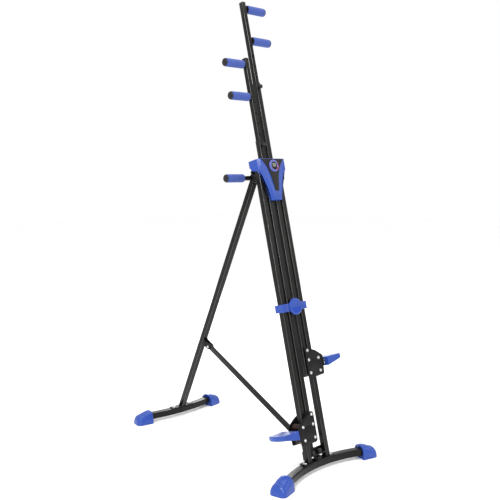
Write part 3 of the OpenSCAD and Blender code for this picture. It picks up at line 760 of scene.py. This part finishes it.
def build_knob(name, m):
    """Fluted pull knob with its pin."""
    at = Matrix.Translation((SLIDER_X, 0, KNOB_S * MM)) @ TO_FRONT
    pin = [(0, 10.5), (3.4, 10.5), (3.4, 16), (6, 16), (6, 20.4), (0, 20.4)]
    stem = moved(lathe_mm(pin, 32), at)
    rings, n = [], 48
    for r, h in ((8.4, 20), (9.6, 21), (9.9, 23), (9.9, 29), (9.2, 30.8), (7.2, 31.8), (3.5, 32)):
        ring = []
        for i in range(n):
            a = 2 * math.pi * i / n
            depth = 0.75 * (0.5 + 0.5 * math.cos(8 * a)) if 20.5 < h < 31 else 0
            ring.append(((r - depth) * MM * math.cos(a), (r - depth) * MM * math.sin(a), h * MM))
        rings.append(ring)
    head = moved(loft(rings), at)
    knob = new_object(name + "_knob_fluted", *merge(stem, head), m)
    finish_mesh(knob, "black_plastic", name + "_knob", [name + "_knob"])
    ease(knob, 0.3 * MM, 2, 50)


# ---- console and collar ----

def build_console():
    eased_copy("console_shell", 1.5 * MM, "blue_moulding", 3)
    eased_copy("console_insert", 0.8 * MM, "insert_plastic")
    timer_s = 1378 * MM
    insert_q = -41 * MM
    at = RAIL @ Matrix.Translation((0, insert_q, timer_s)) @ TO_FRONT
    pts = [(0, 0), (28, 0), (28, 3.5), (27.6, 5.6), (26.4, 7.6), (24.2, 9.0), (21.6, 9.5), (19.6, 9.0),
           (18.6, 7.8), (18.2, 6.2), (17.6, 5.8), (0, 5.8)]
    ring = new_object("timer_ring", *moved(lathe_mm(pts, 64), at))
    finish_mesh(ring, "timer_blue", "frame", ["timer_case"])
    ease(ring, 0.3 * MM, 2, 60)
    disc = [(0, 5.8), (17.8, 5.8), (17.6, 6.3), (0, 6.3)]
    dial = new_object("timer_face", *moved(lathe_mm(disc, 56), at))
    finish_mesh(dial, "insert_plastic", "frame", slot="black_plastic")
    frame_part = box_part(-11.8 * MM, 11.8 * MM, -5.8 * MM, 12.8 * MM, 6.2 * MM, 7.2 * MM)
    bezel = new_object("timer_bezel", *moved(frame_part, at))
    finish_mesh(bezel, "black_plastic", "frame", slot="black_plastic")
    ease(bezel, 0.8 * MM, 3)
    pane = box_part(-10.6 * MM, 10.6 * MM, -4.6 * MM, 11.6 * MM, 7.0 * MM, 7.6 * MM)
    window = new_object("timer_window", *moved(pane, at))
    finish_mesh(window, "lcd", "frame", ["timer_lens"])
    ease(window, 0.25 * MM, 2)
    digits = []
    bars = ((0, 2.6, 6.4, 7.0), (0, 2.6, 3.2, 3.8), (0, 2.6, 0, 0.6), (0, 0.6, 0, 3.4), (2.0, 2.6, 0, 7.0),
            (0, 0.6, 3.4, 7.0))
    for k in range(4):
        x = -7.2 + k * 4.3 + (0.8 if k > 1 else 0)
        for x0, x1, y0, y1 in bars:
            digits.append(box_part((x + x0) * MM, (x + x1) * MM, y0 * MM, y1 * MM, 7.58 * MM, 7.64 * MM))
    finish_mesh(new_object("timer_digits", *moved(merge(*digits), at)), "lcd_ink", "frame",
                slot="lcd", smooth=False)
    arc = []
    for k in range(13):
        a = math.radians(-62 + 100 * k / 12)
        arc.append((math.cos(a), math.sin(a)))
    section = ((19.0, 8.3), (21.4, 9.75), (24.2, 9.25), (24.2, 8.6), (21.4, 9.2), (19.2, 7.9))
    rings = [[(c * r * MM, s * r * MM, z * MM) for r, z in section] for c, s in arc]
    mark = new_object("timer_mark", *moved(loft(rings), at))
    finish_mesh(mark, "red_button", "frame", slot="red_button")
    b_low, b_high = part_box("timer_button")
    place = RAIL.inverted() @ ((b_low + b_high) / 2)
    pin = [(0, 0), (3.2, 0), (3.2, 4.2), (2.9, 4.8), (2.2, 5.0), (0, 5.0)]
    at_button = RAIL @ Matrix.Translation((place.x, -47 * MM, place.z)) @ TO_FRONT
    button = new_object("timer_button_round", *moved(lathe_mm(pin, 32), at_button))
    finish_mesh(button, "red_button", "timer_button", ["timer_button"])
    ease(button, 0.2 * MM, 2, 50)


def build_collar():
    eased_copy("collar_front", 1.6 * MM, "blue_moulding", 3)
    eased_copy("collar_rear", 1.6 * MM, "blue_moulding", 3)
    at = RAIL @ Matrix.Translation((0, -24 * MM, 735 * MM)) @ TO_FRONT
    pts = [(0, 0), (38, 0), (38, 5.2), (37.4, 6.8), (36.2, 7.7), (33.6, 9.7), (32.2, 10.4), (30.4, 10.5),
           (0, 10.5)]
    boss = new_object("collar_boss_round", *moved(lathe_mm(pts, 72), at))
    finish_mesh(boss, "blue_moulding", "frame", ["collar_boss"])
    ease(boss, 0.4 * MM, 2, 60)
    facet = [(29.5 * math.cos(math.radians(a)) * MM, 29.5 * math.sin(math.radians(a)) * MM)
             for a in range(184, 357, 6)]
    lower = new_object("collar_boss_facet", *moved(prism_part(facet, 10.2 * MM, 11.2 * MM), at))
    finish_mesh(lower, "deep_blue", "frame", slot="blue_moulding")
    ease(lower, 0.5 * MM, 2)
    ribs = []
    for x in (-52.5, -45.5):
        ribs.append(box_part((x - 1.3) * MM, (x + 1.3) * MM, -25.4 * MM, -22 * MM, 718.5 * MM, 751.5 * MM))
    rib = new_object("collar_ribs", *merge(*ribs), RAIL)
    finish_mesh(rib, "timer_blue", "frame", slot="blue_moulding")
    ease(rib, 0.9 * MM, 3)


# ---- leg and brace ----

def build_leg():
    part = tube_part(28 * MM, 28 * MM, 3.2 * MM, 2 * MM, rail_floor(LEG), -18 * MM)
    tube = new_object("rear_leg_round", *part, LEG)
    finish_mesh(tube, BLACK, "rear_leg", ["rear_leg_tube"])
    paint_corner_highlights(tube, LEG)
    sleeve = moved(lathe(ring_profile(11.1 * MM, 17 * MM, 28 * MM, 0.9 * MM), 56, closed=True),
                   Matrix.Translation((-14 * MM, 0, 0)) @ ALONG_X)
    neck = box_part(-13.6 * MM, 13.6 * MM, -13.6 * MM, 13.6 * MM, -24 * MM, -14 * MM)
    finish_mesh(new_object("rear_leg_sleeve", *sleeve, LEG), BLACK, "rear_leg", ["rear_leg_tube"])
    block = new_object("rear_leg_neck", *neck, LEG)
    finish_mesh(block, BLACK, "rear_leg", ["rear_leg_tube"])
    ease(block, 1.4 * MM, 3)
    eased_copy("leg_bracket", 0.9 * MM)
    at = Matrix.Translation(PIVOT)
    outward = Matrix.Rotation(math.radians(-90), 4, "Y")
    head = moved(bolt_head(7.5, 6.4, 4.4), at @ Matrix.Translation((-14 * MM, 0, 0)) @ outward)
    nut = moved(hex_nut(7, 6), at @ Matrix.Translation((14 * MM, 0, 0)) @ ALONG_X)
    shank = moved(lathe([(0, 0), (4 * MM, 0), (4 * MM, 28 * MM), (0, 28 * MM)], 24),
                  at @ Matrix.Translation((-14 * MM, 0, 0)) @ ALONG_X)
    finish_mesh(new_object("leg_bolt_domed", *merge(head, nut, shank)), "zinc_steel", "rear_leg",
                ["leg_bracket_bolt"])


def build_brace():
    eased_copy("brace_bar", 1.4 * MM)
    down = (LOCK - PIVOT).normalized()
    up = X.cross(down)
    if up.z < 0:
        up = -up
    middle = axes((PIVOT + LOCK) / 2, X, down, up) @ Matrix.Translation((0, 0, 9 * MM))
    cap = lathe_mm([(0, 0), (6, 0), (6.2, 0.5), (6, 1.4), (5, 2.0), (2.5, 2.3), (0, 2.35)], 32)
    button = new_object("brace_button", *moved(cap, middle))
    finish_mesh(button, "black_plastic", "brace", slot="black_plastic")
    pin = [(0, 0), (7.2, 0), (8, 0.8), (8, 9.6), (7.4, 10.4), (5, 10.6), (5, 35.2), (4.2, 36), (0, 36)]
    at = Matrix.Translation(LOCK + X * (lock_low.x - LOCK.x)) @ ALONG_X
    lock_part = lathe([(r * MM, h * MM * 33 / 36) for r, h in pin], 36)
    lock = new_object("brace_lock_round", *moved(lock_part, at))
    finish_mesh(lock, "zinc_steel", "brace", ["brace_lock_pin"])
    ease(lock, 0.3 * MM, 2, 60)


# ---- head, ropes and small parts ----

def build_small():
    for node, width in (("foot_plate", 0.9), ("rear_foot_plate", 0.9), ("lower_bracket", 0.9),
                        ("stop_bracket", 0.8), ("head_bracket", 0.9), ("slider_guides", 1.0)):
        eased_copy(node, width * MM)
    parts = []
    for x in (-22, 22):
        pts = [(0, 0), (11, 0), (11, 3.2), (10.2, 4.2), (10.2, 5.2), (11, 6.2), (11, 10.6), (10.2, 12.6),
               (8.0, 13.8), (0, 14)]
        parts.append(moved(lathe_mm(pts, 40), Matrix.Translation((x * MM, 0, 76 * MM))))
    bumpers = new_object("stop_bumpers_round", *merge(*parts), RAIL)
    finish_mesh(bumpers, "bumper_rubber", "frame", ["stop_bumpers"])
    ease(bumpers, 0.3 * MM, 2, 50)
    axle = lathe([(0, 0), (5 * MM, 0), (5 * MM, 13.4 * MM), (4.4 * MM, 14 * MM), (0, 14 * MM)], 32)
    at = RAIL @ Matrix.Translation((0, 30 * MM, PULLEY_S)) @ TO_FRONT
    finish_mesh(new_object("pulley_axle_round", *moved(axle, at)), "zinc_steel", "frame", ["pulley_axle"])
    pts = [(5.1, 0), (23.2, 0), (24, 0.6), (24, 1.6), (21.4, 2.2), (20, 3.2), (19.6, 5), (20, 6.8),
           (21.4, 7.8), (24, 8.4), (24, 9.4), (23.2, 10), (5.1, 10)]
    at = RAIL @ Matrix.Translation((0, 27 * MM, PULLEY_S)) @ TO_FRONT
    wheel = new_object("pulley_grooved", *moved(lathe_mm(pts, 64, closed=True), at))
    finish_mesh(wheel, "nylon", "pulley", ["pulley"])


def build_rope(name, sign):
    """Twisted cord from the slider's lug to a quarter turn over the pulley."""
    lift = RISE if sign > 0 else 0
    x, q, top = sign * SLIDER_X, 22 * MM, PULLEY_S
    low = 304 * MM + lift
    path = [Vector((x, q, low + (top - low) * k / 150)) for k in range(151)]
    path += [Vector((sign * SLIDER_X * math.cos(a), q, top + SLIDER_X * math.sin(a)))
             for a in (math.radians(90 * k / 12) for k in range(1, 13))]
    rings, n, length = [], 12, 0
    for k, p in enumerate(path):
        ahead = (path[min(k + 1, len(path) - 1)] - path[max(k - 1, 0)]).normalized()
        a, b = Vector((0, 1, 0)), ahead.cross(Vector((0, 1, 0)))
        if k:
            length += (p - path[k - 1]).length
        ring = []
        for i in range(n):
            t = 2 * math.pi * i / n
            r = (1.72 + 0.26 * math.cos(3 * t + length / (2.2 * MM))) * MM
            ring.append(p + a * r * math.cos(t) + b * r * math.sin(t))
        rings.append(ring)
    rope = new_object(name + "_rope_twisted", *loft(rings), RAIL)
    rope.data.materials.append(FINISHES["rope_fibre"].mat)
    rope.data.shade_smooth()
    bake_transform(rope)
    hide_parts(name + "_rope")


def add_floor():
    h = FLOOR_HALF
    floor = new_object("floor", [(-h, -h, 0), (h, -h, 0), (h, h, 0), (-h, h, 0)], [(0, 1, 2, 3)])
    finish = Finish("floor", (0.99, 0.99, 0.99), 0.7, Specular_IOR_Level=0.2).mottle(2, 0.005)
    floor.data.materials.append(finish.mat)


build_rails()
arc_tube("front_base_round", "front_base_tube", 590 * MM, 269 * MM, -1)
arc_tube("rear_base_round", "rear_base_tube", 900 * MM, 220 * MM, 1)
build_caps()
build_base_bolts()
build_handlebar()
build_handles()
build_slider("left", -1)
build_slider("right", 1)
build_console()
build_collar()
build_leg()
build_brace()
build_small()
build_rope("left", -1)
build_rope("right", 1)

add_camera()
add_floor()
add_world()
add_light("key", (-3.5, -1.6, 4.2), 2.2, 130)
add_light("front", (-3.4, -3.9, 2.3), 0.7, 55)
add_light("fill", (2.6, -3.2, 2.6), 2.0, 12)
add_light("back", (2.7, 3.0, 1.9), 1.6, 45, (0, -0.3, 0.1))
add_light("top", (0.5, 0.5, 5.0), 3.0, 60)
